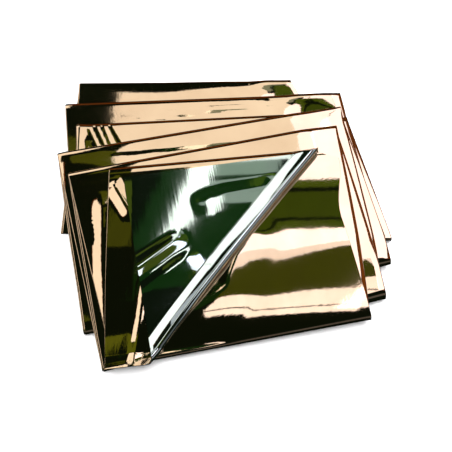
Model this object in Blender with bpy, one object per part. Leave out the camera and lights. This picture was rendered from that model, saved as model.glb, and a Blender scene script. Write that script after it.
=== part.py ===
"""Emergency foil blanket, folded back and forth into a fanned stack of layers.

A film sheet, 1.3 m by 2.1 m, gold on one side and silver on the other, is folded five plies wide
and then back and forth in twelve layers. Each ply pack is modelled as one sheet. The layers slide
forward and turn a little from one to the next, sag over the fronts of those below, and join in
tight creases at the back and soft rolls at the front. The free front corner of the top layer is
turned back over a diagonal roll, silver side up.

Units are metres, +Z is up, +X runs along the creases and +Y points to the back. The origin is the
middle of the footprint, on the surface that the stack lies on.
"""
import math
from collections import namedtuple

import bmesh
import bpy
import numpy as np

NODE = "foil_blanket"
MM = 0.001

# Driving dimensions.
SHEET = 1.6 * MM            # five plies of film lying together
LAYER_RISE = 3.6 * MM       # from the middle of one layer to the middle of the next
SETTLE_RUN = 34 * MM        # a layer sinks over this distance past the front edge of one below
SIDE_RUN = 60 * MM          # the same past a side edge
ROLL_CLEARANCE = 2 * MM     # a layer stays level this far past a front roll before it sinks
SIDE_CLEARANCE = 6 * MM     # the same past a side edge
PUFF_RUN = 46 * MM          # a front roll opens over this distance
CORNER_SPREAD = 17 * MM     # the layer under the top one bulges past it at its back right corner
CORNER_RUN = 0.45           # share of that layer's depth over which the bulge fades
WAVE_SHARE = 0.03           # soft unevenness, as a share of the height above the surface

# The turned corner of the top layer.
FLAP_ROLL = 3.0 * MM        # radius of the diagonal roll at mid sheet
FLAP_HOVER = 4.4 * MM       # the turned corner lies this far above the top layer
FLAP_SETTLE = 40 * MM       # distance over which it comes down to that
FLAP_BACK = (86.0, 44.0)    # the roll's outer line on the back crease, mm
FLAP_FRONT = (-59.5, -151.0)  # the roll's outer line on the free front edge, mm
ROLL_STEPS = 6              # facets round the diagonal roll
SHORT_EDGE = 0.6 * MM       # shorter edges left by its cuts are closed up

# Mesh steps.
COLUMNS = 8                 # across the stack
CREASE_STEPS = 5            # facets round a crease or roll
BACK_ROW = 42 * MM          # row spacing where the layers lie level
FRONT_ROW = 9.5 * MM        # row spacing where they sag
FRONT_BEGINS = -12 * MM     # y where the finer rows begin

# Each crease in order along the folded strip: its outer line on plan, from left to right, and the
# outer height of its roll at both ends, all in mm. The first and last are the strip's free ends.
Crease = namedtuple("Crease", "name side left_x left_y right_x right_y left_roll right_roll")
TIGHT = (LAYER_RISE + SHEET) / MM
CREASES = [
    Crease("start", "free", -145.5, -19, 134.5, -17, 0, 0),
    Crease("back_1", "back", -141.5, 152, 67.5, 154, TIGHT, TIGHT),
    Crease("front_1", "front", -133.5, -22, 151.5, -29, 5.5, 6.0),
    Crease("back_2", "back", -151.5, 120, 114.5, 133, TIGHT, TIGHT),
    Crease("front_2", "front", -129.5, -50, 142.5, -36, 5.5, 6.0),
    Crease("back_3", "back", -137.5, 90, 106.5, 105, TIGHT, TIGHT),
    Crease("front_3", "front", -116.5, -119, 148.5, -55, 8.0, 9.0),
    Crease("back_4", "back", -151.5, 53, 111.5, 107.5, TIGHT, TIGHT),
    Crease("front_4", "front", -98.5, -153, 141.5, -86, 8.0, 10.0),
    Crease("back_5", "back", -138.5, 26.5, 105.5, 81.5, TIGHT, TIGHT),
    Crease("front_5", "front", -89, -152, 127, -108, 9.0, 7.0),
    Crease("back_6", "back", -100.5, 26.5, 86.5, 47, TIGHT, TIGHT),
    Crease("end", "free", -96, -154, 109.5, -132, 0, 0),
]
LAYERS = len(CREASES) - 1

FILM_GOLD = (0.85, 0.52, 0.16, 1.0)


def smooth_step(t):
    """0 below 0, 1 above 1, and a smooth S between."""
    t = np.clip(t, 0.0, 1.0)
    return t * t * (3.0 - 2.0 * t)


def line_ends(crease, inset):
    """A crease's left and right end, moved inwards by a distance for each end, in metres."""
    left = np.array([crease.left_x, crease.left_y]) * MM
    right = np.array([crease.right_x, crease.right_y]) * MM
    along = (right - left) / np.linalg.norm(right - left)
    behind = np.array([-along[1], along[0]])
    inwards = -behind if crease.side == "back" else behind
    return left + inwards * inset[0], right + inwards * inset[1]


def roll_heights(crease):
    """Outer height of the roll at the crease's left and right end."""
    return crease.left_roll * MM, crease.right_roll * MM


def layer_line(index):
    """The line where the layers next to crease number index stop and its roll begins."""
    left_roll, right_roll = roll_heights(CREASES[index])
    return line_ends(CREASES[index], (left_roll / 2, right_roll / 2))


def distance_behind(start, end, x, y):
    """Signed distance of points to the left of the line from start to end."""
    along = (end - start) / np.linalg.norm(end - start)
    return (y - start[1]) * along[0] - (x - start[0]) * along[1]


def share_along(start, end, x, y):
    """How far along the line points lie, 0 at start and 1 at end."""
    step = end - start
    return np.clip(((x - start[0]) * step[0] + (y - start[1]) * step[1]) / (step @ step), 0.0, 1.0)


def front_index(layer):
    """Number of the crease at a layer's front. Layers are numbered from 1."""
    return layer - 1 if layer % 2 else layer


def back_index(layer):
    """Number of the crease at a layer's back."""
    return layer if layer % 2 else layer - 1


def cover(layer, x, y):
    """1 over a layer, falling to 0 past its front and side edges: what lies above sinks there."""
    front = layer_line(front_index(layer))
    back = layer_line(back_index(layer))
    roll = max(roll_heights(CREASES[front_index(layer)])) / 2
    ahead = distance_behind(*front, x, y) + roll + ROLL_CLEARANCE
    inside_left = distance_behind(back[0], front[0], x, y)
    inside_right = distance_behind(front[1], back[1], x, y)
    return (smooth_step(1 + ahead / SETTLE_RUN)
            * smooth_step(1 + (inside_left + SIDE_CLEARANCE) / SIDE_RUN)
            * smooth_step(1 + (inside_right + SIDE_CLEARANCE) / SIDE_RUN))


def slot_height(layer, x, y):
    """Rise from a layer's middle to the next one's: more where the two open into a front roll."""
    rise = np.full_like(x, LAYER_RISE)
    if layer % 2 == 0 and layer < LAYERS:
        start, end = layer_line(layer)
        left_roll, right_roll = roll_heights(CREASES[layer])
        share = share_along(start, end, x, y)
        extra = left_roll + (right_roll - left_roll) * share - SHEET - LAYER_RISE
        rise += extra * (1 - smooth_step(distance_behind(start, end, x, y) / PUFF_RUN))
    return rise


def wave(x, y):
    """Soft unevenness between -1 and 1: three crossing waves of different lengths."""
    return (np.sin(x / (31 * MM) + y / (54 * MM))
            + np.sin(y / (23 * MM) - x / (61 * MM) + 1.2)
            + np.sin((x + y) / (39 * MM) + 2.6)) / 3


def layer_height(layer, x, y):
    """Height of a layer's middle: all that lies under it at each point, stretched by the waves."""
    height = np.zeros_like(x)
    for below in range(1, layer):
        height += slot_height(below, x, y) * cover(below, x, y)
    return SHEET / 2 + height * (1 + WAVE_SHARE * wave(x, y))


def row_shares(from_y, to_y):
    """Shares of a layer's depth for its rows, wide at the back and close where it sags."""
    back_y, front_y = max(from_y, to_y), min(from_y, to_y)
    middle_y = min(max(FRONT_BEGINS, front_y), back_y)
    level = max(1, math.ceil((back_y - middle_y) / BACK_ROW))
    sagging = max(1, math.ceil((middle_y - front_y) / FRONT_ROW))
    rows = np.concatenate([np.linspace(back_y, middle_y, level + 1),
                           np.linspace(middle_y, front_y, sagging + 1)[1:]])
    shares = (back_y - rows) / (back_y - front_y)
    return shares if from_y > to_y else 1 - shares[::-1]


def layer_rows(layer):
    """Points of one layer, row by row from the crease below it to the crease above it."""
    start, end = layer_line(layer - 1), layer_line(layer)
    across = np.linspace(0, 1, COLUMNS + 1)[None, :, None]
    shares = row_shares(start[0][1] + start[1][1], end[0][1] + end[1][1])[:, None, None]
    below = start[0] * (1 - across) + start[1] * across
    above = end[0] * (1 - across) + end[1] * across
    plan = below * (1 - shares) + above * shares
    if layer == LAYERS - 1:
        fade = smooth_step(1 - (1 - shares) / CORNER_RUN) * smooth_step((1 - shares) / 0.04)
        plan[..., 0] += (CORNER_SPREAD * fade * across ** 2)[..., 0]
    height = layer_height(layer, plan[..., 0], plan[..., 1])
    return np.concatenate([plan, height[..., None]], axis=2)


def roll_rows(crease_index, lower, upper):
    """Half circles from the last row of one layer up to the first row of the next."""
    start, end = layer_line(crease_index)
    along = (end - start) / np.linalg.norm(end - start)
    behind = np.array([-along[1], along[0], 0.0])
    outwards = behind if CREASES[crease_index].side == "back" else -behind
    radius = (upper[:, 2] - lower[:, 2])[:, None] / 2
    middle = (upper + lower) / 2
    rows = []
    for step in range(1, CREASE_STEPS):
        angle = math.pi * step / CREASE_STEPS
        rows.append(middle + outwards * radius * math.sin(angle)
                    - np.array([0, 0, 1.0]) * radius * math.cos(angle))
    return np.array(rows)


def strip_rows():
    """All rows of the folded strip, and the number of the row where the top layer begins."""
    layers = [layer_rows(layer) for layer in range(1, LAYERS + 1)]
    rows = [layers[0]]
    for index in range(1, LAYERS):
        rows.append(roll_rows(index, layers[index - 1][-1], layers[index][0]))
        rows.append(layers[index])
    top_begins = sum(len(block) for block in rows[:-1])
    return np.concatenate(rows), top_begins


def turn_corner(mesh, top_faces):
    """Cut the top layer along the diagonal roll, then turn its front corner back over the roll."""
    back, front = np.array(FLAP_BACK) * MM, np.array(FLAP_FRONT) * MM
    along = (front - back) / np.linalg.norm(front - back)
    out = np.array([-along[1], along[0]])
    start = back - out * FLAP_ROLL
    arc = math.pi * FLAP_ROLL
    faces = top_faces
    for step in range(ROLL_STEPS + 1):
        place = start + out * arc * step / ROLL_STEPS
        geometry = list({item for face in faces for item in (face, *face.edges, *face.verts)})
        cut = bmesh.ops.bisect_plane(mesh, geom=geometry, dist=MM * 0.02,
                                     plane_co=(*place, 0), plane_no=(*out, 0))
        faces = [item for item in cut["geom"] if isinstance(item, bmesh.types.BMFace)]
    verts = list({vert for face in faces for vert in face.verts})
    bmesh.ops.remove_doubles(mesh, verts=verts, dist=SHORT_EDGE)
    verts = [vert for vert in verts if vert.is_valid]
    flat = np.array([vert.co for vert in verts])
    past = (flat[:, :2] - start) @ out
    turned = past > MM * 0.02
    angle = np.clip(past / FLAP_ROLL, 0, math.pi)
    moved = np.where(past < arc, FLAP_ROLL * np.sin(angle), arc - past) - past
    plan = flat[:, :2] + moved[:, None] * out
    lift = FLAP_ROLL * (1 - np.cos(angle))
    lift += (FLAP_HOVER - 2 * FLAP_ROLL) * smooth_step((past - arc) / FLAP_SETTLE)
    height = layer_height(LAYERS, plan[:, 0], plan[:, 1]) + lift
    for index in np.flatnonzero(turned):
        verts[index].co = (*plan[index], height[index])


def build_blanket():
    """The folded strip as one sheet surface, thickened to the ply pack."""
    rows, top_begins = strip_rows()
    mesh = bmesh.new()
    grid = [[mesh.verts.new(point) for point in row] for row in rows]
    top_faces = []
    for number, (row, next_row) in enumerate(zip(grid, grid[1:])):
        for column in range(COLUMNS):
            face = mesh.faces.new((row[column], row[column + 1],
                                   next_row[column + 1], next_row[column]))
            face.smooth = True
            if number >= top_begins:
                top_faces.append(face)
    turn_corner(mesh, top_faces)
    data = bpy.data.meshes.new(NODE)
    mesh.to_mesh(data)
    mesh.free()
    blanket = bpy.data.objects.new(NODE, data)
    bpy.context.collection.objects.link(blanket)
    thickness = blanket.modifiers.new("ply_pack", "SOLIDIFY")
    thickness.thickness = SHEET
    thickness.offset = 0.0
    thickness.use_even_offset = False
    return blanket


def film_material():
    """Metallised film, gold side."""
    material = bpy.data.materials.new("gold_film")
    material.use_nodes = True
    shader = material.node_tree.nodes["Principled BSDF"]
    shader.inputs["Base Color"].default_value = FILM_GOLD
    shader.inputs["Metallic"].default_value = 1.0
    shader.inputs["Roughness"].default_value = 0.12
    return material


for old in list(bpy.data.objects):
    bpy.data.objects.remove(old)
build_blanket().data.materials.append(film_material())
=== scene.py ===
# %% [markdown]
# # Folded emergency foil blanket
# A rescue blanket is one very thin plastic film, about a hundredth of a millimetre thick, with a
# mirror coat of metal: gold on one side and silver on the other. It is folded five plies wide and
# then back and forth twelve times. Here the pile has slid open like a hand of cards, and the free
# corner of the top layer is turned back to show the silver side.
#
# The imported model gives the size and the place of everything, so it is loaded first, with its
# transforms applied to its meshes. The film is then built as one long surface that fits its box.

import math
from collections import namedtuple

import bmesh
import bpy
import numpy as np
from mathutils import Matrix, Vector


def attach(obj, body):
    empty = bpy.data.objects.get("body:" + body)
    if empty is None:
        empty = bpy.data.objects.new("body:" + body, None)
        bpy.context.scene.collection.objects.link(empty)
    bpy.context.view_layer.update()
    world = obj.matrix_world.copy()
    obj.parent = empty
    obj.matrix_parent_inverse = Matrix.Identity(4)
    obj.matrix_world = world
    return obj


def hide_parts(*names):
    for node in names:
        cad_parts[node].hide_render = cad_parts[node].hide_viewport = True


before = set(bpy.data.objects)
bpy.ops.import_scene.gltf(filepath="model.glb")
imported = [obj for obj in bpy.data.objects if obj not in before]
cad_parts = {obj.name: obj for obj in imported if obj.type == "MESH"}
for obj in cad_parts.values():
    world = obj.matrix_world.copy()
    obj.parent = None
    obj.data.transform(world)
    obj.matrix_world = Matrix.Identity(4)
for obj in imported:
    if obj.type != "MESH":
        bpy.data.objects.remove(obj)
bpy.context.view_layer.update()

# %% [markdown]
# ## The folding plan
# Folded film is easiest to describe as its folder would: a list of creases, in order along the
# strip. Odd creases lie at the back of the pile and even ones at the front. Each one is a line seen
# from above, with the height of the roll that the film makes there. The first and the last are the
# free ends of the strip. Layer number n lies between crease n - 1 and crease n.
#
# A cloth simulation could fold a flat sheet too, but sixty plies of slippery film would need hours
# and would never slide into just this fan. A plan puts every edge where it belongs. Its numbers are
# in millimetres and are turned into metres when they are used.

# %% Measures and crease lines
MM = 0.001
PACK = 1.6 * MM  # room for five plies lying together
LAYER_RISE = 3.6 * MM  # from the middle of one layer to the middle of the next
TIGHT = (LAYER_RISE + PACK) / MM  # height of a roll that closes up fully

Crease = namedtuple("Crease", "side left_x left_y right_x right_y left_roll right_roll")
CREASES = [
    Crease("free", -145.5, -19, 134.5, -17, 0, 0),
    Crease("back", -141.5, 152, 67.5, 154, TIGHT, TIGHT),
    Crease("front", -133.5, -22, 151.5, -29, 5.5, 6.0),
    Crease("back", -151.5, 120, 114.5, 133, TIGHT, TIGHT),
    Crease("front", -129.5, -50, 142.5, -36, 5.5, 6.0),
    Crease("back", -137.5, 90, 106.5, 105, TIGHT, TIGHT),
    Crease("front", -116.5, -119, 148.5, -55, 8.0, 9.0),
    Crease("back", -151.5, 53, 111.5, 107.5, TIGHT, TIGHT),
    Crease("front", -98.5, -153, 141.5, -86, 8.0, 10.0),
    Crease("back", -138.5, 26.5, 105.5, 81.5, TIGHT, TIGHT),
    Crease("front", -89, -152, 127, -108, 9.0, 7.0),
    Crease("back", -100.5, 26.5, 86.5, 47, TIGHT, TIGHT),
    Crease("free", -96, -154, 109.5, -132, 0, 0),
]
LAYERS = len(CREASES) - 1
GOLD_LAYER = LAYERS - 1  # the gold layer that the turned corner uncovers
print(LAYERS, "layers between", len(CREASES), "lines")

# %% [markdown]
# ## Lines and soft steps
# Two small tools do most of the work. A soft step goes from 0 to 1 along an S curve, so that no
# kink gets into the film by accident. The signed distance from a line says how far in front of or
# behind a crease each point lies. Both take whole arrays, which is far quicker than a loop.

# %% Helpers for lines
FADE_PARTS = 6  # what fades at its ends does so over a sixth of its length


def soft_step(t):
    """0 below 0, 1 above 1, and 3 t squared minus 2 t cubed between."""
    t = np.clip(t, 0.0, 1.0)
    return t * t * (3.0 - 2.0 * t)


def fade_ends(share):
    """1 along the middle and 0 at both ends: a soft step up times a soft step down."""
    return soft_step(share * FADE_PARTS) * soft_step((1 - share) * FADE_PARTS)


def line_ends(crease, inset):
    """A crease's left and right end, moved inwards by a distance for each end, in metres."""
    left = np.array([crease.left_x, crease.left_y]) * MM
    right = np.array([crease.right_x, crease.right_y]) * MM
    along = (right - left) / np.linalg.norm(right - left)
    behind = np.array([-along[1], along[0]])
    inwards = -behind if crease.side == "back" else behind
    return left + inwards * inset[0], right + inwards * inset[1]


def layer_line(index):
    """The line where the layers next to a crease stop and its roll begins: half a roll inside."""
    crease = CREASES[index]
    return line_ends(crease, (crease.left_roll * MM / 2, crease.right_roll * MM / 2))


def distance_behind(start, end, x, y):
    """Signed distance of points to the left of the line from start to end."""
    along = (end - start) / np.linalg.norm(end - start)
    return (y - start[1]) * along[0] - (x - start[0]) * along[1]


def share_along(start, end, x, y):
    """How far along the line points lie, 0 at start and 1 at end."""
    step = end - start
    return np.clip(((x - start[0]) * step[0] + (y - start[1]) * step[1]) / (step @ step), 0.0, 1.0)


print("back crease 1 runs from", *(np.round(end / MM, 1) for end in layer_line(1)), "mm")

# %% [markdown]
# ## Where a layer holds up the ones above
# Film is limp, so a layer rests on all that lies under it, and sags where that ends. A lower layer
# counts fully over its own area and fades out past its front and side edges. At the back it counts
# everywhere, because the layers above never reach past it there. The fade is a product of soft
# steps, one for each edge, so it is smooth round the corners too.

# %% Cover of a layer
SETTLE_RUN = 34 * MM  # a layer sinks over this distance past the front edge of one below
SIDE_RUN = 60 * MM  # the same past a side edge
ROLL_CLEARANCE = 2 * MM  # a layer stays level this far past a front roll before it sinks
SIDE_CLEARANCE = 6 * MM  # the same past a side edge


def front_index(layer):
    """Number of the crease at a layer's front."""
    return layer - 1 if layer % 2 else layer


def back_index(layer):
    """Number of the crease at a layer's back."""
    return layer if layer % 2 else layer - 1


def cover(layer, x, y):
    """1 over a layer, falling along soft steps to 0 past its front and side edges."""
    front, back = layer_line(front_index(layer)), layer_line(back_index(layer))
    crease = CREASES[front_index(layer)]
    roll = max(crease.left_roll, crease.right_roll) * MM / 2
    ahead = distance_behind(*front, x, y) + roll + ROLL_CLEARANCE
    inside_left = distance_behind(back[0], front[0], x, y)
    inside_right = distance_behind(front[1], back[1], x, y)
    return (soft_step(1 + ahead / SETTLE_RUN)
            * soft_step(1 + (inside_left + SIDE_CLEARANCE) / SIDE_RUN)
            * soft_step(1 + (inside_right + SIDE_CLEARANCE) / SIDE_RUN))


centre = np.zeros(1)
print("layer 3 counts at the middle for", round(float(cover(3, centre, centre)[0]), 2))

# %% [markdown]
# ## How high each layer rests
# Under each point the room that the lower layers take is added up. Where two layers open into a
# front roll they stand further apart. Last come three slow waves, because a pile of film is never
# quite flat. Noise could do this as well, but waves are smooth, and a mirror shows every grain.

# %% Resting heights
PUFF_RUN = 46 * MM  # a front roll opens over this distance
WAVES = ((31, 54, 0.0), (-61, 23, 1.2), (39, 39, 2.6))  # run in x and y in mm, and start
WAVE_SHARE = 0.03  # soft unevenness, as a share of the height above the surface


def slot_height(layer, x, y):
    """Rise from a layer's middle to the next one's: more where the two open into a front roll."""
    rise = np.full_like(x, LAYER_RISE)
    if layer % 2 == 0 and layer < LAYERS:
        start, end = layer_line(layer)
        crease = CREASES[layer]
        share = share_along(start, end, x, y)
        outer = (crease.left_roll + (crease.right_roll - crease.left_roll) * share) * MM
        rise += (outer - PACK - LAYER_RISE) * (
            1 - soft_step(distance_behind(start, end, x, y) / PUFF_RUN))
    return rise


def wave(x, y):
    """Soft unevenness between -1 and 1: the mean of three crossing sine waves."""
    return sum(np.sin(x / (x_run * MM) + y / (y_run * MM) + start)
               for x_run, y_run, start in WAVES) / len(WAVES)


def resting_height(layer, x, y):
    """Height of a layer's middle: the sum of the slots under each point, stretched by the waves."""
    height = np.zeros_like(x)
    for below in range(1, layer):
        height += slot_height(below, x, y) * cover(below, x, y)
    return height * (1 + WAVE_SHARE * wave(x, y))


print("top layer's rest at the middle, mm:",
      round(float(resting_height(LAYERS, centre, centre)[0]) / MM, 1))

# %% [markdown]
# ## Taut film over the steps
# Layers that only rest on each other copy every edge beneath them. Real film is pulled nearly taut
# when it is smoothed by hand, so it bridges the steps and falls in one long curve to the front. The
# curve is drawn by its slope and not by its height, because the slope is what a mirror shows. It is
# given on two lines from back to front, one near the middle and one at the right, and added up.

# %% One long curve
Fall = namedtuple("Fall", "line_share places slopes")
FALLS = (
    Fall(0.46, (0, 0.155, 0.43, 0.735, 0.825, 0.907, 1),
         (0, 0.036, 0.124, 0.200, 0.274, 0.363, 0.50)),
    Fall(0.91, (0, 0.184, 0.52, 0.62, 0.868, 0.984, 1),
         (0, 0.035, 0.129, 0.218, 0.281, 0.371, 0.45)),
)
FINE_SHARES = np.linspace(0, 1, 201)


def drop_along(distance, fine_places, places, slopes):
    """Drop over a distance: slopes given at a few places, joined by straight lines, summed."""
    slope = np.interp(fine_places, places, slopes)
    drop = np.concatenate([[0], np.cumsum((slope[1:] + slope[:-1]) / 2 * fine_places[1])])
    return np.interp(distance, fine_places, drop)


def fall(share, fall_line):
    """Drop from back to front over a depth of 1."""
    return drop_along(share, FINE_SHARES, fall_line.places, fall_line.slopes)


print("drops over a depth of 1:", [round(float(fall(1, line)), 3) for line in FALLS])

# %% [markdown]
# ## Squeezing the pile onto the curve
# The whole pile is now squeezed or loosened, by one share at each point, until the gold layer
# follows the curve. Moving the gold layer alone would push it through its neighbours. Past its
# sides the lower layers stick out and hang a little lower, so there the share is made smaller.

# %% Squeezing
BACK_REST = 36.6 * MM  # height of the gold layer's back edge
MIX_LIMIT = 1.1  # the right fall line's lead may grow this far past the line itself
LEAST_REST = 1 * MM  # keeps the share sensible where almost nothing lies below
SQUEEZE_LIMITS = (0.60, 1.70)
BLEND_CLEARANCE = 35 * MM  # the curve still holds this far past a side
BLEND_RUN = 30 * MM  # and then lets go over this distance

Sag = namedtuple("Sag", "rate begins back")  # share lost per metre, from where, back to where
LEFT_SAG = Sag(0.6, 20 * MM, 45 * MM)
RIGHT_SAG = Sag(3.4, 5 * MM, 118 * MM)
SAG_RUN = 30 * MM
MOST_SAG = 0.3


def side_sag(sag, inside, y):
    """Share of the height lost near a side: the rate times the way past the place where the sag
    begins, fading out at the back."""
    return sag.rate * np.maximum(sag.begins - inside, 0) * soft_step((sag.back - y) / SAG_RUN)


def squeeze(layer, x, y):
    """Share by which the pile is squeezed: the curve's height over the resting height, going back
    to 1 past the gold layer's front and far past its sides, times 1 minus the sag."""
    back, front = layer_line(GOLD_LAYER), layer_line(GOLD_LAYER - 1)
    behind = distance_behind(*front, x, y)
    before = -distance_behind(*back, x, y)
    depth = before + behind
    share = np.clip(before / depth, 0, 1)
    left, right = FALLS
    mix = np.clip((share_along(*front, x, y) - left.line_share)
                  / (right.line_share - left.line_share), 0, MIX_LIMIT)
    curve = BACK_REST - depth * (fall(share, left) * (1 - mix) + fall(share, right) * mix)
    rest = np.maximum(resting_height(GOLD_LAYER, x, y), LEAST_REST)
    from_left = distance_behind(back[0], front[0], x, y)
    from_right = distance_behind(front[1], back[1], x, y)
    held = (soft_step(1 + behind / BLEND_RUN)
            * soft_step(1 + (from_left + BLEND_CLEARANCE) / BLEND_RUN)
            * soft_step(1 + (from_right + BLEND_CLEARANCE) / BLEND_RUN))
    sag = side_sag(LEFT_SAG, from_left, y)
    if layer < GOLD_LAYER:
        sag = sag + side_sag(RIGHT_SAG, from_right, y)
    pressed = 1 + (np.clip(curve / rest, *SQUEEZE_LIMITS) - 1) * held
    return pressed * (1 - np.minimum(sag, MOST_SAG))


def layer_height(layer, x, y):
    """Height of a layer's middle above the floor."""
    return PACK / 2 + resting_height(layer, x, y) * squeeze(layer, x, y)


spot = np.linspace(0.04, -0.12, 9)
print("gold layer's height from back to front, mm:",
      np.round(layer_height(GOLD_LAYER, np.zeros(9), spot) / MM, 1))

# %% [markdown]
# ## Edges that curve down
# Next to a crease the two layers close up, so each bends a little towards the other, and at the
# right side the lower layers' edges hang down. These bends are narrow, but they draw the dark lines
# along the edges of folded film. A bevel would round all edges evenly. Here each crease has widths
# of its own, and so the lowest one gets its broad dark wedge at the left.

# %% Falling edges
EDGE_FALL = 0.65 * MM  # how far a layer bends at its back crease
BACK_WIDTHS = {1: (45, 2.0), 3: (4, 1.9), 5: (3, 1.9),  # crease: left and right width, mm
               7: (4, 1.9), 9: (4, 1.9), 11: (3, 1.9)}
WIDTH_CURVE = 1.3  # a wide left end narrows along this power
NARROW_EDGE = 12 * MM  # a wider edge falls further, up to
DEEPEST = 2  # twice as far
RIGHT_FALL, RIGHT_WIDTH = 0.30 * MM, 1.9 * MM


def edge_fall(layer, x, y, from_right):
    """How far a layer bends at its back crease and right side: each is a drop times the square of
    the share of the edge's width that is left."""
    back = layer_line(back_index(layer))
    left_width, right_width = BACK_WIDTHS[back_index(layer)]
    share = share_along(*back, x, y)
    width = (right_width + (left_width - right_width) * (1 - share) ** WIDTH_CURVE) * MM
    at_back = np.clip(1 + distance_behind(*back, x, y) / width, 0, 1) ** 2
    towards = 1 if layer % 2 else -1
    drop = EDGE_FALL * np.clip(width / NARROW_EDGE, 1, DEEPEST)
    at_right = (layer < GOLD_LAYER) * np.clip(1 - from_right / RIGHT_WIDTH, 0, 1) ** 2
    return towards * drop * at_back - RIGHT_FALL * at_right * (1 - at_back)


left_end = layer_line(1)[0].reshape(2, 1)
print("layer 1 bends at its back left end by, mm:",
      round(float(edge_fall(1, *left_end, np.ones(1))[0]) / MM, 2))

# %% [markdown]
# ## Creases from handling
# A mirror shows every change of slope, so ridges and troughs from a few tenths of a millimetre to
# two millimetres high are what gives film its look. Sculpting them by hand would be lost on the
# next run, and noise would put them anywhere. So each is placed by a path of points on one layer,
# with its width to each side, its rise, and how sharp its top is.

# %% Ridges and troughs
Ridge = namedtuple("Ridge", "where left right rise sharp path")
RIDGES = [
    Ridge(4, 2.6, 2.6, 0.4, 0.8, [(-98, 102), (22, 117)]),
    Ridge(4, 2.6, 2.6, 0.4, 0.8, [(-80, 99), (72, 122.5)]),
    Ridge(2, 3.0, 17.0, 2.0, 1.0, [(24, 157), (160, 158)]),
    Ridge(2, 14.0, 3.0, -1.7, 1.0, [(34, 125), (160, 131)]),
    Ridge(4, 3.0, 17.0, 2.0, 1.0, [(50, 133), (200, 140)]),
    Ridge(4, 17.0, 3.0, -2.0, 1.0, [(60, 99), (200, 108)]),
    Ridge(6, 2.4, 2.4, 0.4, 1.0, [(-128, 90), (-113, 57)]),
    Ridge(6, 2.4, 2.4, 0.4, 1.0, [(-120, 90), (-105.5, 57)]),
    Ridge(6, 2.4, 2.4, 0.4, 1.0, [(-113, 90), (-100, 58)]),
    Ridge(6, 2.8, 2.8, 0.4, 1.0, [(-106, 91), (-89, 60)]),
    Ridge(6, 7.0, 7.0, 1.1, 0.8, [(-134, 97), (-132, 45)]),
    Ridge(8, 2.6, 2.6, 0.4, 0.8, [(-119, 51.5), (-90, 53), (-30, 59.6), (44, 68.5)]),
    Ridge(10, 26.0, 9.0, 1.15, 0.9, [(-106, 8), (-102, -60), (-95, -140)]),
    Ridge(11, 28.0, 9.0, 0.9, 0.8, [(34, -20), (21, -42), (11, -59), (6, -74), (5, -83),
                                    (-8, -95), (-36, -116)]),
    Ridge(12, 9.0, 9.0, 1.3, 0.7, [(-98, 12), (-76, -26)]),
    Ridge(12, 6.0, 6.0, 1.0, 0.7, [(-62, -70), (-67, -115), (-74, -156)]),
    Ridge(4, 30.0, 30.0, 1.5, 0.5, [(105, 190), (117, 110), (119, 84)]),
    Ridge(9, 4.0, 26.0, 2.2, 1.0, [(139, -50), (141, -68), (146, -106)]),
    Ridge("corner", 10.0, 17.0, -0.55, 1.0, [(-28, -12), (-18, -9), (3, -1), (24, 3), (50, 8)]),
    Ridge("corner", 24.0, 6.0, 0.75, 1.0, [(-20, -54), (-26, -59), (-40, -70), (-90, -110)]),
    Ridge("corner", 9.0, 7.0, 1.6, 1.0, [(-30, -40), (-46, -52), (-64, -66), (-100, -94)]),
]
print("ridges and troughs:", len(RIDGES))

# %% [markdown]
# ## From a path to a ridge
# A ridge is a tent: highest on its path and falling to nothing at its width, which may differ from
# side to side. Some tents are rounded by a soft step, and the sharper ones keep their straight
# sides, because flat facets with crisp edges are what crumpled film shows.

# %% Relief
def path_distance(path, x, y):
    """Distance of points from a path of straight pieces, how far along it they lie, and whether
    they lie to its left."""
    path = np.array(path) * MM
    lengths = np.linalg.norm(np.diff(path, axis=0), axis=1)
    nearest, place = np.full_like(x, np.inf), np.zeros_like(x)
    at_left = np.zeros(x.shape, bool)
    for number, (start, end) in enumerate(zip(path, path[1:])):
        share = share_along(start, end, x, y)
        foot = start + share[..., None] * (end - start)
        away = np.hypot(x - foot[..., 0], y - foot[..., 1])
        closer = away < nearest
        nearest = np.where(closer, away, nearest)
        place = np.where(closer, (lengths[:number].sum() + share * lengths[number]), place)
        at_left = np.where(closer, distance_behind(start, end, x, y) > 0, at_left)
    return nearest, place / lengths.sum(), at_left


def relief(where, x, y):
    """Sum of the ridges on a layer. Each is a tent over its path, partly rounded by a soft step,
    times a fade at both ends."""
    height = np.zeros_like(x)
    for ridge in RIDGES:
        if ridge.where != where:
            continue
        away, share, at_left = path_distance(ridge.path, x, y)
        tent = np.clip(1 - away / (np.where(at_left, ridge.left, ridge.right) * MM), 0, 1)
        tent = ridge.sharp * tent + (1 - ridge.sharp) * soft_step(tent)
        height += ridge.rise * MM * tent * fade_ends(share)
    return height


spots = np.meshgrid(np.linspace(-0.15, 0.15, 151), np.linspace(-0.15, 0.15, 151))
print("highest ridge on layer 10, mm:", round(float(relief(10, *spots).max()) / MM, 2))

# %% [markdown]
# ## Five plies across
# Seen from its end, each layer is a flat zigzag of five plies joined by tight side folds. Its
# profile is worked out once and carried along the whole strip, so the film stays in one piece. Five
# copies of a layer would be loose sheets. The columns come in three zones, because the top layer
# bends over a slanting roll: up to the roll, round it, and past it. On the other layers the first
# zone takes the whole width.

# %% Columns of one ply
PLIES = 5
OUTER_COLUMNS = (56, 10, 54)  # columns in each zone
INNER_COLUMNS = (8, 6, 6)
LEFT_COLUMNS, LEFT_SHARES = (0, 0.36, 1), (0, 0.19, 1)  # where they stand in the first zone
EDGE_SHARE = 0.0025  # a close column near each edge keeps the edge crisp


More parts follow.
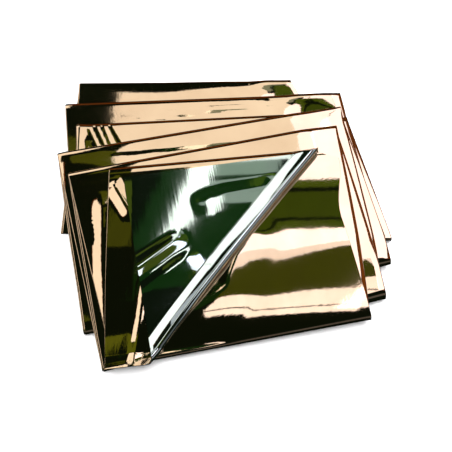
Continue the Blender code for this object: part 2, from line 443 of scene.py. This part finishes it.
def ply_columns(counts):
    """Zone and share of each column of one ply, from its left edge to its right edge."""
    zones, shares = [0], [0.0]
    for zone, count in enumerate(counts):
        inner = np.linspace(0, 1, count + 1)[1:]
        if zone == 0:
            inner = np.interp(inner, LEFT_COLUMNS, LEFT_SHARES)
        if zone != 1:
            inner = np.concatenate([[EDGE_SHARE] if zone == 0 else [], inner[:-1],
                                    [1 - EDGE_SHARE, 1.0]])
        zones += [zone] * len(inner)
        shares += list(inner)
    return np.array(zones), np.array(shares)


print("columns of an outer and an inner ply:", len(ply_columns(OUTER_COLUMNS)[0]),
      len(ply_columns(INNER_COLUMNS)[0]))

# %% [markdown]
# ## The zigzag
# Every second ply runs back, and a half circle joins it to the one before. The plies aren't stacked
# exactly: each stops a little short of or past its neighbour, as hand folding leaves them. That
# draws the fine lines along the sides, which a texture could only imitate from one direction.

# %% The zigzag profile
PLY_GAP = 0.33 * MM  # wider than in life, so that each ply can be seen at the edges
LEFT_INSET = np.array([0.9, 0.2, 0.2, 1.5, 1.5]) * MM  # ply by ply, from the first
RIGHT_INSET = np.array([0.3, 0.3, 1.3, 1.3, 0.6]) * MM
FOLD_STEPS = 4

Profile = namedtuple("Profile", "zone share level left right")


def make_profile():
    """The plies one after another, every second one run backwards, joined by half circles: the
    sine of the turn sideways and 1 minus its cosine upwards, each times half the gap."""
    parts = []
    for ply in range(PLIES):
        zone, share = ply_columns(OUTER_COLUMNS if ply in (0, PLIES - 1) else INNER_COLUMNS)
        if ply % 2:
            zone, share = zone[::-1], share[::-1]
        flat = np.ones(len(zone))
        level = (ply - (PLIES - 1) / 2) * PLY_GAP
        parts.append(Profile(zone, share, flat * level, flat * LEFT_INSET[ply],
                             flat * RIGHT_INSET[ply]))
        if ply < PLIES - 1:
            turn = math.pi * np.arange(1, FOLD_STEPS) / FOLD_STEPS
            bulge, rise = np.sin(turn) * PLY_GAP / 2, (1 - np.cos(turn)) * PLY_GAP / 2
            at_right = ply % 2 == 0
            left = LEFT_INSET[ply] + (LEFT_INSET[ply + 1] - LEFT_INSET[ply]) * rise / PLY_GAP
            right = RIGHT_INSET[ply] + (RIGHT_INSET[ply + 1] - RIGHT_INSET[ply]) * rise / PLY_GAP
            parts.append(Profile(np.full(len(turn), 2 if at_right else 0),
                                 np.full(len(turn), 1.0 if at_right else 0.0), level + rise,
                                 left if at_right else left - bulge,
                                 right - bulge if at_right else right))
    return Profile(*(np.concatenate(values) for values in zip(*parts)))


PROFILE = make_profile()
print("points across the profile:", len(PROFILE.zone))

# %% [markdown]
# ## The turned corner
# The free front corner of the top layer is folded back over a slanting roll, so each row of the
# layer meets it somewhere else. Past the roll the nearest columns run parallel to it. If they
# fanned out, the narrow bright stripe along the roll would break into steps.

# %% Where the rows meet the roll
FLAP_ROLL = 3.0 * MM  # radius of the roll
FLAP_BACK = np.array([86.0, 44.0]) * MM  # its two ends
FLAP_FRONT = np.array([-59.5, -151.0]) * MM
FLAP_ALONG = (FLAP_FRONT - FLAP_BACK) / np.linalg.norm(FLAP_FRONT - FLAP_BACK)
FLAP_OUT = np.array([-FLAP_ALONG[1], FLAP_ALONG[0]])
FLAP_START = FLAP_BACK - FLAP_OUT * FLAP_ROLL
FLAP_ARC = math.pi * FLAP_ROLL
NEAR_SHARES = (0, 1 / 6, 5 / 18, 1 / 3)  # shares of the columns past the roll
NEAR_PLACES = np.array([0, 4.4, 10.7, 11.6]) * MM  # and their distances from it
MERGE = 0.004 * MM  # points closer than this become one


def zone_limits(left, right):
    """Shares across each row at which the roll begins and ends: where the row from left to right
    crosses the two lines, or 1 where it doesn't reach them."""
    before = (left - FLAP_START) @ FLAP_OUT
    after = (right - FLAP_START) @ FLAP_OUT
    begins = np.clip(-before / (after - before), 0, 1)
    ends = np.clip((FLAP_ARC - before) / (after - before), 0, 1)
    begins[after <= 0], ends[after <= 0] = 1, 1
    begins[0], ends[0] = 1, 1
    return begins, ends


def shares_past_roll(right):
    """Shares of the columns past the roll, by row. The first third of them keep a fixed distance
    from the roll, so that they run parallel to it, and the others share out the rest."""
    reach = np.maximum((right - FLAP_START) @ FLAP_OUT - FLAP_ARC, MERGE)[:, None]
    near = np.interp(PROFILE.share, NEAR_SHARES, NEAR_PLACES)
    far = np.clip((PROFILE.share - NEAR_SHARES[-1]) / (1 - NEAR_SHARES[-1]), 0, 1)
    distance = near * np.minimum(1, reach / near.max()) + far * np.maximum(reach - near.max(), 0)
    return distance / reach


print("film taken up by the roll, mm:", round(FLAP_ARC / MM, 1))

# %% [markdown]
# ## Turning the film over
# Turning film over is a simple map of the flat layer. Points before the roll stay, points on it go
# round a half circle, and points past it come back upside down, as far behind the roll as they were
# in front of it. A bent lattice could do this too, but a formula keeps every length of the film.
# Behind the roll the corner comes down in a few straight slopes and then lies level.

# %% The slanting roll
FLAP_PLACES = np.array([0, 1, 4, 4.8, 11, 11.4, 300]) * MM  # distance behind the roll
FLAP_SLOPES = np.array([0.45, 0.39, 0.34, 0.27, 0.26, 0, 0])  # how steeply it comes down there
FLAP_PARTS = (0, 0.5, 1)  # the roll's front end, middle and back end
FLAP_TWIST = (0, 0.055, 0.065)  # how much more steeply it comes down behind them
TWIST_RUN = 11 * MM  # as far as this behind the roll
FINE_PLACES = np.linspace(0, FLAP_PLACES[-1], 1201)


def flap_drop(distance, share):
    """How far the turned corner has come down at a distance behind the roll: its summed slopes,
    plus a twist. The share goes from 0 at the roll's front end to 1 at its back end."""
    twist = np.interp(share, FLAP_PARTS, FLAP_TWIST) * np.clip(distance, 0, TWIST_RUN)
    return drop_along(distance, FINE_PLACES, FLAP_PLACES, FLAP_SLOPES) + twist


def turn_corner(plan):
    """Maps the flat top layer to its turned place. Returns the new plan, the lift above the layer,
    and the turn angle, which goes from 0 to pi round the roll."""
    past = (plan - FLAP_START) @ FLAP_OUT
    angle = np.clip(past / FLAP_ROLL, 0, math.pi)
    reach = np.where(past < FLAP_ARC, FLAP_ROLL * np.sin(angle), FLAP_ARC - past)
    moved = np.where(past > 0, reach - past, 0.0)
    share = share_along(FLAP_FRONT, FLAP_BACK, plan[..., 0], plan[..., 1])
    lift = FLAP_ROLL * (1 - np.cos(angle)) - flap_drop(past - FLAP_ARC, share)
    return plan + moved[..., None] * FLAP_OUT, lift, angle


print("the corner comes down by, mm:", round(float(flap_drop(0.1, 0.5)) / MM, 1))

# %% [markdown]
# ## Rows of a layer
# Each layer becomes a grid of points, whose rows run from crease to crease. An even grid fine
# enough for the top would spend most of its faces on film that nobody sees. So rows are close
# together where a layer shows and wide where it is hidden.

# %% Rows
SHOWN_ROW = {6: 1.5}  # mm between rows where a layer shows
UPPER_ROW, UNDER_ROW = 3.0, 6.0  # elsewhere: on layers that face up, and the rest
HIDDEN_ROW = {8: 5.0, 10: 4.5}  # mm between rows where a layer is hidden
COARSE_ROW = 12.0  # the same on all other layers
SHOWN_DEPTH = 34 * MM  # how much of a lower layer shows behind the one above
CLOSE_ROW = 0.7 * MM  # a close row next to a crease keeps the crease crisp
TIP_ROW, TIP_DEPTH = 1 * MM, 20 * MM  # rows at the top layer's free edge


def row_shares(layer, depth):
    """Shares of a layer's depth for its rows, from the crease below it to the crease above it."""
    shown = depth if layer >= GOLD_LAYER else SHOWN_DEPTH
    usual_row = UPPER_ROW if layer % 2 == 0 or layer == GOLD_LAYER else UNDER_ROW
    fine_row = SHOWN_ROW.get(layer, usual_row) * MM
    coarse_row = HIDDEN_ROW.get(layer, COARSE_ROW) * MM
    fine = np.linspace(0, shown, math.ceil(shown / fine_row) + 1)
    coarse = np.linspace(shown, depth, max(1, math.ceil((depth - shown) / coarse_row)) + 1)[1:]
    tip = np.arange(depth - TIP_DEPTH, depth, TIP_ROW) if layer == LAYERS else []
    rows = np.unique(np.concatenate([fine, coarse if depth > shown else [], tip,
                                     [CLOSE_ROW, depth - CLOSE_ROW]]))
    shares = rows / depth
    return shares if layer % 2 == 0 else 1 - shares[::-1]


print("rows on layers 1 and 12:", len(row_shares(1, 0.17)), len(row_shares(12, 0.19)))

# %% [markdown]
# ## The plan of a layer
# Rows and columns together give each point its place seen from above. On the gold layer under the
# turned corner the columns crowd together next to the slanting roll, where a narrow ridge needs
# them. It also bulges a little past the top layer at its back right corner.

# %% Plan of a layer
CROWD_COLUMNS, CROWD_SHARES = (0, 0.12, 0.58, 1), (0, 0.26, 0.56, 1)
CORNER_SPREAD = 17 * MM  # how far the gold layer bulges at its back right corner
CORNER_RUN = 0.45  # share of its depth over which the bulge fades to the front
CORNER_START = 0.04  # and over which it grows from the back crease


def columns_across(layer, left, right, shares):
    """Share of the width at each point: the profile's shares, run together zone by zone."""
    if layer == LAYERS:
        begins, ends = zone_limits(left, right)
        past = shares_past_roll(right)
    else:
        begins = ends = np.ones(len(shares))
        past = PROFILE.share[None, :]
    begins, ends = begins[:, None], ends[:, None]
    across = np.choose(PROFILE.zone, [PROFILE.share * begins,
                                      begins + (ends - begins) * PROFILE.share,
                                      ends + (1 - ends) * past])
    if layer == GOLD_LAYER:
        even = np.interp(PROFILE.share, LEFT_SHARES, LEFT_COLUMNS)
        crowded = np.where(PROFILE.zone == 0, np.interp(even, CROWD_COLUMNS, CROWD_SHARES), 1.0)
        across = across + (crowded - across) * fade_ends(shares)
    return across


def layer_plan(layer):
    """Plan of a layer's points, and how far they lie from its right side: rows between its two
    crease lines, a share of each row for every column, moved sideways by the ply's inset."""
    start, end = layer_line(layer - 1), layer_line(layer)
    depth = abs(start[0][1] + start[1][1] - end[0][1] - end[1][1]) / 2
    shares = row_shares(layer, depth)[:, None]
    left = start[0] * (1 - shares) + end[0] * shares
    right = start[1] * (1 - shares) + end[1] * shares
    across = columns_across(layer, left, right, shares)
    width = np.linalg.norm(right - left, axis=1)[:, None]
    slide = PROFILE.left * (1 - across) - PROFILE.right * across
    plan = (left[:, None] + (right - left)[:, None] * across[..., None]
            + ((right - left) / width)[:, None] * slide[..., None])
    if layer == GOLD_LAYER:
        fade = soft_step(1 - (1 - shares) / CORNER_RUN) * soft_step((1 - shares) / CORNER_START)
        plan[..., 0] += CORNER_SPREAD * fade * across ** 2
    return plan, (1 - across) * width


plan, from_right = layer_plan(GOLD_LAYER)
print("gold layer:", plan.shape[0], "rows, widest", round(float(from_right.max()) / MM, 1), "mm")

# %% [markdown]
# ## From the plan to the surface
# Last comes the height: how high the layer lies, plus its ridges, its bent edges and, on the top
# layer, the roll. Working out the plan and the height apart lets the top layer's corner be turned
# while it is still flat, when that is easy.

# %% Layers
TURNED = math.pi - 1e-6  # turn angle from which film lies upside down


def layer_points(layer):
    """Points and film normals of one layer: its plan, and the sum of all that lifts or bends it."""
    plan, from_right = layer_plan(layer)
    side = 1.0 if layer % 2 else -1.0
    x, y = plan[..., 0], plan[..., 1]
    bend = edge_fall(layer, x, y, from_right)
    if layer < LAYERS:
        height = layer_height(layer, x, y) + relief(layer, x, y)
        height = np.maximum(height + bend, PROFILE.level.max())
        normal = np.zeros(plan.shape[:2] + (3,))
        normal[..., 2] = side
    else:
        plan, lift, angle = turn_corner(plan)
        x, y = plan[..., 0], plan[..., 1]
        lift += bend * np.cos(angle)
        height = layer_height(layer, x, y) + lift
        height += np.where(angle >= TURNED, relief("corner", x, y),
                           relief(layer, x, y) * (angle <= 0))
        normal = np.concatenate([-np.sin(angle)[..., None] * FLAP_OUT,
                                 np.cos(angle)[..., None]], axis=2) * side
    return np.concatenate([plan, height[..., None]], axis=2), normal


print("top layer's highest point, mm:",
      round(float(layer_points(LAYERS)[0][..., 2].max()) / MM, 1))

# %% [markdown]
# ## Rolls between the layers
# Where one layer ends and the next begins, the film goes round in a roll, tight at the back and
# fuller at the front. A half circle would meet sloping layers at an angle, and a mirror would show
# that as a hard line. So the roll is a Bezier curve that leaves each layer along its own slope.

# %% Rolls
CREASE_STEPS = 8
ROLL_HANDLE = 2 / 3  # share of the gap: nearly a half circle where both layers are level


def roll_points(index, lower, upper):
    """Roll from a layer's last rows up to the next one's first rows, and its normals: a cubic curve
    whose two handles run on along the layers' own slopes."""
    low, high = lower[-1], upper[0]
    start, end = layer_line(index)
    along = np.append((end - start) / np.linalg.norm(end - start), 0.0)
    leave = low - lower[-2]
    arrive = high - upper[1]
    handle = np.linalg.norm(high - low, axis=1)[:, None] * ROLL_HANDLE
    leave = leave - (leave @ along)[:, None] * along
    arrive = arrive - (arrive @ along)[:, None] * along
    first = low + handle * leave / np.linalg.norm(leave, axis=1)[:, None]
    second = high + handle * arrive / np.linalg.norm(arrive, axis=1)[:, None]
    t = (np.arange(1, CREASE_STEPS) / CREASE_STEPS)[:, None, None]
    points = (low * (1 - t) ** 3 + 3 * first * t * (1 - t) ** 2
              + 3 * second * t ** 2 * (1 - t) + high * t ** 3)
    points[..., 2] = np.maximum(points[..., 2], PROFILE.level.max())
    forward = ((first - low) * (1 - t) ** 2 + 2 * (second - first) * t * (1 - t)
               + (high - second) * t ** 2)
    normals = np.cross(along, forward)
    return points, normals / np.linalg.norm(normals, axis=2)[..., None]


# %% [markdown]
# ## The whole strip
# Layers and rolls now follow one another in a single grid, from the free end at the bottom to the
# free end on top. The plies are measured off along the film's own normal, which turns over at every
# crease, so that the same ply is on top in one layer and at the bottom in the next.

# %% One long strip
def strip_points():
    """The whole strip: layers and rolls in turn. Also the number of the top layer's first row."""
    layers = [layer_points(layer) for layer in range(1, LAYERS + 1)]
    blocks = [layers[0]]
    for index in range(1, LAYERS):
        blocks.append(roll_points(index, layers[index - 1][0], layers[index][0]))
        blocks.append(layers[index])
    top_begins = sum(len(points) for points, _ in blocks[:-1])
    middle = np.concatenate([points for points, _ in blocks])
    normal = np.concatenate([normals for _, normals in blocks])
    return middle + normal * PROFILE.level[None, :, None], top_begins


points, top_begins = strip_points()
print("grid:", points.shape[0], "rows of", points.shape[1], "points")
print("lowest and highest point, mm:", round(points[..., 2].min() / MM, 2),
      round(points[..., 2].max() / MM, 2))

# %% [markdown]
# ## The mesh
# Neighbouring points of the grid make the faces, all with one expression on index arrays. The faces
# past the slanting roll get the second material, because the film shows its silver side there. The
# flat measures of the film become a UV map, in metres, so that a pattern can follow it round every
# fold. Unwrapping the folded mesh would stretch and cut it. Where the roll's zones have no width
# their points coincide, and these doubles are merged.

# %% Build the film
def film_lengths(points, top_begins):
    """Flat measures of the film in metres: the steps along each row and down each column, averaged
    and summed. The top layer is left out across, because its roll cuts its rows short."""
    row_steps = np.linalg.norm(np.diff(points, axis=0), axis=2).mean(axis=1)
    column_steps = np.linalg.norm(np.diff(points[:top_begins], axis=1), axis=2).mean(axis=0)
    down = np.concatenate([[0], np.cumsum(row_steps)])
    across = np.concatenate([[0], np.cumsum(column_steps)])
    return across, down


def build_film(points, top_begins):
    """One mesh from the grid of points, with materials by face and the flat measures as UV."""
    rows, columns = points.shape[:2]
    number = np.arange(rows * columns).reshape(rows, columns)
    corners = np.stack([number[:-1, :-1], number[:-1, 1:], number[1:, 1:], number[1:, :-1]], axis=2)
    silver = np.zeros((rows - 1, columns - 1), dtype=np.int32)
    silver[top_begins:] = (PROFILE.zone[1:] > 0)[None, :]
    mesh = bpy.data.meshes.new("foil_film")
    mesh.from_pydata(points.reshape(-1, 3).tolist(), [], corners.reshape(-1, 4).tolist())
    mesh.polygons.foreach_set("material_index", silver.ravel())
    mesh.polygons.foreach_set("use_smooth", np.ones(silver.size, dtype=bool))
    across, down = film_lengths(points, top_begins)
    flat = np.stack(np.meshgrid(across, down), axis=2).reshape(-1, 2)
    uv = mesh.uv_layers.new(name="flat_film")
    uv.data.foreach_set("uv", flat[corners.reshape(-1)].ravel())
    piece = bpy.data.objects.new("foil_film", mesh)
    bpy.context.collection.objects.link(piece)
    work = bmesh.new()
    work.from_mesh(mesh)
    bmesh.ops.remove_doubles(work, verts=work.verts, dist=MERGE)
    work.to_mesh(mesh)
    work.free()
    print("flat film, m:", round(across[-1], 2), "x", round(down[-1], 2))
    return piece


film = build_film(points, top_begins)
print("faces:", len(film.data.polygons), "triangles:",
      sum(len(face.vertices) - 2 for face in film.data.polygons),
      "area, m2:", round(sum(face.area for face in film.data.polygons), 2))

# %% [markdown]
# ## Shader arithmetic
# Node trees are easier to read as formulas. The class below wraps a socket, so that adding or
# multiplying two of them adds a Math node. Every other node comes from its one method.

# %% Sockets as numbers
class Wire:
    """An output socket that can be added and multiplied."""

    def __init__(self, tree, socket):
        self.tree, self.socket = tree, socket

    def node(self, kind, settings, inputs, output=0):
        """A new node: its settings first, then the value or link of each input."""
        node = self.tree.nodes.new(kind)
        for name, value in settings.items():
            setattr(node, name, value)
        for name, value in inputs.items():
            if isinstance(value, Wire):
                self.tree.links.new(value.socket, node.inputs[name])
            else:
                node.inputs[name].default_value = value
        return Wire(self.tree, node.outputs[output])

    def combine(self, operation, other):
        """A Math node on this value and another."""
        return self.node("ShaderNodeMath", {"operation": operation}, {0: self, 1: other})

    def __add__(self, other):
        return self.combine("ADD", other)

    def __mul__(self, other):
        return self.combine("MULTIPLY", other)

    __radd__, __rmul__ = __add__, __mul__


print("sockets can now be added and multiplied")

# %% [markdown]
# ## Metallised film
# The coat is real metal, so the shader is fully metallic, and its colour is the tint that a
# reflection takes. The film is nearly a mirror, but faintly cloudy and finely crinkled. These are
# two noises in its flat measures: a coarse one clouds the tint and the roughness, and both feed a
# bump. It is weak, because the folds and ridges that can be seen are in the mesh.

# %% Film materials
CLOUD_SCALE, GRAIN_SCALE = 21.0, 420.0  # noise cells per metre of film
CLOUDING = 0.04  # how much the cloud adds to the roughness
CLOUD_HEIGHT, GRAIN_HEIGHT = 0.6, 0.06  # shares of the bump
BUMP_STRENGTH, BUMP_DISTANCE = 0.25, 0.4 * MM


def film_material(name, tint, deep_tint, roughness):
    """Metal film: the tint goes to the deeper one with the cloud, the roughness is a constant plus
    a share of the cloud, and the bump is a weighted sum of cloud and grain."""
    material = bpy.data.materials.new(name)
    material.use_nodes = True
    tree = material.node_tree
    shader = tree.nodes["Principled BSDF"]
    flat = Wire(tree, tree.nodes.new("ShaderNodeTexCoord").outputs["UV"])
    cloud = flat.node("ShaderNodeTexNoise", {"noise_dimensions": "2D"},
                      {"Vector": flat, "Scale": CLOUD_SCALE, "Detail": 3.0, "Roughness": 0.55})
    grain = flat.node("ShaderNodeTexNoise", {"noise_dimensions": "2D"},
                      {"Vector": flat, "Scale": GRAIN_SCALE, "Detail": 2.0})
    clouded = cloud.node("ShaderNodeMix", {"data_type": "RGBA"},
                         {"Factor": cloud, "A": (*tint, 1.0), "B": (*deep_tint, 1.0)}, 2)
    crinkle = cloud * CLOUD_HEIGHT + grain * GRAIN_HEIGHT
    bump = crinkle.node("ShaderNodeBump", {}, {"Height": crinkle, "Strength": BUMP_STRENGTH,
                                              "Distance": BUMP_DISTANCE})
    tree.links.new(clouded.socket, shader.inputs["Base Color"])
    tree.links.new((cloud * CLOUDING + roughness).socket, shader.inputs["Roughness"])
    tree.links.new(bump.socket, shader.inputs["Normal"])
    shader.inputs["Metallic"].default_value = 1.0
    return material


film.data.materials.append(
    film_material("gold_film", (0.92, 0.70, 0.47), (0.74, 0.52, 0.33), 0.02))
film.data.materials.append(
    film_material("silver_film", (0.82, 0.92, 0.87), (0.76, 0.88, 0.82), 0.025))
print("film materials:", [material.name for material in film.data.materials])

# %% [markdown]
# ## Floor
# The blanket lies on a plain white surface, which is level under it and curves up far away on all
# sides, like a studio's paper roll. A flat plane would end in a horizon. Further out it glows, to
# stay white. The film doesn't reflect it, so that its dark bands stay dark.

# %% Floor
FLOOR_LEVEL, FLOOR_END, FLOOR_HEIGHT = 4.5, 10.0, 5.0  # radii and height in metres
FLOOR_START = 0.05  # share of the radius at the first ring
WALL_BEGINS = 2.3  # from here on it glows enough to stay white
FLOOR_GLOW, WALL_GLOW = 0.12, 1.0


def floor_material(name, glow):
    """Plain matt white with some light of its own."""
    material = bpy.data.materials.new(name)
    material.use_nodes = True
    shader = material.node_tree.nodes["Principled BSDF"]
    shader.inputs["Base Color"].default_value = (0.9, 0.9, 0.9, 1.0)
    shader.inputs["Roughness"].default_value = 0.9
    shader.inputs["Specular IOR Level"].default_value = 0.1
    shader.inputs["Emission Color"].default_value = (1.0, 1.0, 1.0, 1.0)
    shader.inputs["Emission Strength"].default_value = glow
    return material


def bowl_points(rings=26, steps=72):
    """Rings of a shallow bowl: level as far as FLOOR_LEVEL, then rising with the square of the
    way further out."""
    radius = np.linspace(FLOOR_START, 1, rings)[:, None] * FLOOR_END
    turn = 2 * math.pi * np.arange(steps)[None, :] / steps
    rise = np.clip((radius - FLOOR_LEVEL) / (FLOOR_END - FLOOR_LEVEL), 0, 1) ** 2 * FLOOR_HEIGHT
    return np.stack([radius * np.cos(turn), radius * np.sin(turn),
                     np.broadcast_to(rise, (rings, steps))], axis=2)


rings = bowl_points()
number = np.arange(rings.shape[0] * rings.shape[1]).reshape(rings.shape[:2])
after = np.roll(number, -1, axis=1)
floor_faces = np.stack([number[:-1], number[1:], after[1:], after[:-1]], axis=2).reshape(-1, 4)
floor_mesh = bpy.data.meshes.new("floor")
floor_mesh.from_pydata(rings.reshape(-1, 3).tolist(), [],
                       floor_faces.tolist() + [number[0].tolist()])
floor_mesh.polygons.foreach_set("use_smooth", np.ones(len(floor_mesh.polygons), bool))
floor = bpy.data.objects.new("floor", floor_mesh)
floor.data.materials.append(floor_material("white_floor", FLOOR_GLOW))
floor.data.materials.append(floor_material("white_wall", WALL_GLOW))
outer = np.linalg.norm(rings[..., :2], axis=2)[:-1].ravel() > WALL_BEGINS
floor_mesh.polygons.foreach_set("material_index", np.append(outer, False).astype(int))
floor.visible_glossy = False
bpy.context.collection.objects.link(floor)
print("floor faces:", len(floor_mesh.polygons), "of which glow:", int(outer.sum()))

# %% [markdown]
# ## Camera
# The camera looks down from the front at 60 degrees with a long lens, so that the pile's edges stay
# nearly parallel. A short lens close by would spread the front and shrink the back.

# %% Camera
VIEW_ELEVATION = math.radians(60)
VIEW_DISTANCE = 0.860
VIEW_TARGET = Vector((0.0035, -0.0105, 0.0))
LENS, SENSOR = 75.66, 36.0  # in mm

camera_data = bpy.data.cameras.new("camera")
camera_data.lens, camera_data.sensor_width = LENS, SENSOR
camera = bpy.data.objects.new("camera", camera_data)
camera.location = VIEW_TARGET + VIEW_DISTANCE * Vector(
    (0, -math.cos(VIEW_ELEVATION), math.sin(VIEW_ELEVATION)))
camera.rotation_euler = (math.pi / 2 - VIEW_ELEVATION, 0, 0)
bpy.context.collection.objects.link(camera)
bpy.context.scene.camera = camera
print("camera at, m:", [round(value, 3) for value in camera.location])

# %% [markdown]
# ## Studio
# Mirror film shows the studio around it, so its look is made by what each part of it faces. Here
# that is a dark room with soft boxes. A picture of a studio wrapped round the scene could do this
# too, but boxes can be moved one at a time.
#
# The boxes stand on a big cylinder round a line from left to right through the blanket. Each is
# given by two height angles, which run from 0 behind the blanket over 90 above it to 180 in front,
# and by its left and right edges. Level film faces boxes at 50 to 70 degrees. A slope of one in ten
# faces 11 degrees further on to the front, or half a metre further to the side.

# %% Helpers for soft boxes
BOX_DISTANCE = 2.5


def soft_box(name, elevation, depth, left, right, brightness, tint, in_film=True):
    """Rectangular light facing the blanket from a height angle. Its sides are given in metres and
    its depth in degrees. Its power is brightness times pi times its area."""
    width, length = right - left, 2 * BOX_DISTANCE * math.tan(math.radians(depth / 2))
    data = bpy.data.lights.new(name, "AREA")
    data.shape, data.size, data.size_y = "RECTANGLE", width, length
    data.energy = brightness * math.pi * width * length
    data.color = tint
    light = bpy.data.objects.new(name, data)
    angle = math.radians(elevation)
    light.location = ((left + right) / 2, BOX_DISTANCE * math.cos(angle),
                      BOX_DISTANCE * math.sin(angle))
    light.rotation_euler = (angle - math.pi / 2, 0, 0)
    light.visible_camera = False
    light.visible_glossy = in_film
    bpy.context.collection.objects.link(light)
    return light


def band(name, lowest, highest, left, right, brightness, tint):
    """A soft box between two height angles."""
    return soft_box(name, (lowest + highest) / 2, highest - lowest, left, right, brightness, tint)


WARM, PALE, COOL = (1.0, 0.98, 0.95), (0.92, 0.9, 1.0), (0.85, 0.82, 1.0)
GREEN, OLIVE, DEEP_GREEN = (0.56, 1.0, 0.05), (0.78, 1.0, 0.06), (0.12, 1.0, 0.08)
SAGE, PALE_SAGE = (0.85, 1.0, 0.85), (0.9, 1.0, 0.9)
RUST, WHITE = (1.0, 0.28, 0.06), (1.0, 1.0, 1.0)
print("tints ready for the boxes")

# %% [markdown]
# ## Boxes over the middle
# These are what the level parts face. Bright boxes make the bright bands across the gold layers,
# and dim green and olive ones the dark bands, because even the dark parts of gold film have a
# colour. The silver corner shows a white window and two grey cards before dark green.

# %% Boxes over the middle
band("back_box", 44, 57, -0.39, 0.26, 1.1, WARM)
band("back_right", 44, 61.2, 0.26, 0.70, 2.0, COOL)
band("olive_back", 53.5, 58, -0.56, -0.39, 0.08, OLIVE)
band("green_edge", 61.2, 63.4, 0.16, 0.70, 0.10, GREEN)
band("green_low", 64.6, 72, 0.16, 0.70, 0.07, GREEN)
band("green_rim", 72.8, 75, 0.16, 0.70, 0.09, GREEN)
band("top_box", 75, 82.8, 0.16, 0.70, 2.2, COOL)
band("top_rim", 82.8, 86, 0.16, 0.70, 1.3, PALE)
band("green_high", 86, 95.5, 0.16, 0.70, 0.06, OLIVE)
band("front_box", 95.5, 102, 0.20, 0.70, 1.6, PALE)
band("front_rim", 102.6, 106, 0.20, 0.70, 1.6, PALE)
band("deep_green", 57, 95, -0.22, 0.16, 0.019, DEEP_GREEN)
band("window", 57, 84, -0.12, -0.035, 1.5, WARM)
band("grey_card", 57, 60.5, -0.035, 0.20, 0.28, SAGE)
band("grey_sweep", 61.8, 65.5, -0.035, 0.16, 0.30, PALE_SAGE)
print("boxes over the middle:", len(bpy.data.lights))

# %% [markdown]
# ## Boxes at the sides
# The sides of the pile and the slopes of the ridges face further left or right. Rust boxes beside
# the bright ones give bright streaks the reddish rim that gold film has, and large dim ones further
# out keep steep edges from going black. The floor has a light that isn't seen in the film.

# %% Boxes at the sides
WALL_DEPTH, WALL_HEIGHT = 40, 1.4  # in degrees and metres

band("right_box", 40, 104, 0.72, 1.40, 2.2, COOL)
band("left_tip", 30, 46, -1.25, -0.57, 1.25, WARM)
band("left_low", 46, 58, -1.25, -0.90, 1.25, WARM)
band("left_strip", 58, 112, -1.25, -0.85, 1.25, WARM)
band("rust_inner", 58, 112, -0.85, -0.80, 0.14, RUST)
band("rust_outer", 58, 112, -1.31, -1.25, 0.14, RUST)
band("olive_left", 60, 73, -0.47, -0.33, 0.06, OLIVE)
band("olive_front", 109, 135, -0.90, -0.10, 0.13, OLIVE)
band("rust_wall", 35, 115, 1.45, 2.6, 0.16, RUST)
band("rust_low", 5, 30, -0.6, 1.5, 0.12, RUST)
band("front_wall", 142, 174, -4.0, 4.0, 0.10, PALE)
band("left_card", 20, 80, -2.9, -1.5, 0.5, PALE)
band("right_card", 20, 80, 2.7, 4.0, 0.5, PALE)
for name, x in (("left_wall", -3.4), ("right_wall", 3.4)):
    wall = soft_box(name, 90, WALL_DEPTH, -BOX_DISTANCE, BOX_DISTANCE, 0.35, PALE)
    wall.location = (x, 0, WALL_HEIGHT)
    wall.rotation_euler = (math.pi / 2, 0, math.copysign(math.pi / 2, x))  # upright
soft_box("fill", 85, 60, -1.5, 1.5, 6.0, WHITE, in_film=False)
print("boxes in all:", len(bpy.data.lights))

# %% [markdown]
# ## The dark room
# Between the boxes the film faces the world, which is nearly black, with a trace of green. The
# Standard view keeps the hard contrast of foil, which Blender's usual view would soften.

# %% World
world = bpy.data.worlds.new("dark_room")
world.use_nodes = True
world.node_tree.nodes["Background"].inputs["Color"].default_value = (0.004, 0.007, 0.003, 1.0)
bpy.context.scene.world = world
bpy.context.scene.view_settings.view_transform = "Standard"
print("view transform:", bpy.context.scene.view_settings.view_transform)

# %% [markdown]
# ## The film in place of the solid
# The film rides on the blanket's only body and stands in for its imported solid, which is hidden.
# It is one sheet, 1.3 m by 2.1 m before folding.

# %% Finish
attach(film, "root")
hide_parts("foil_blanket")
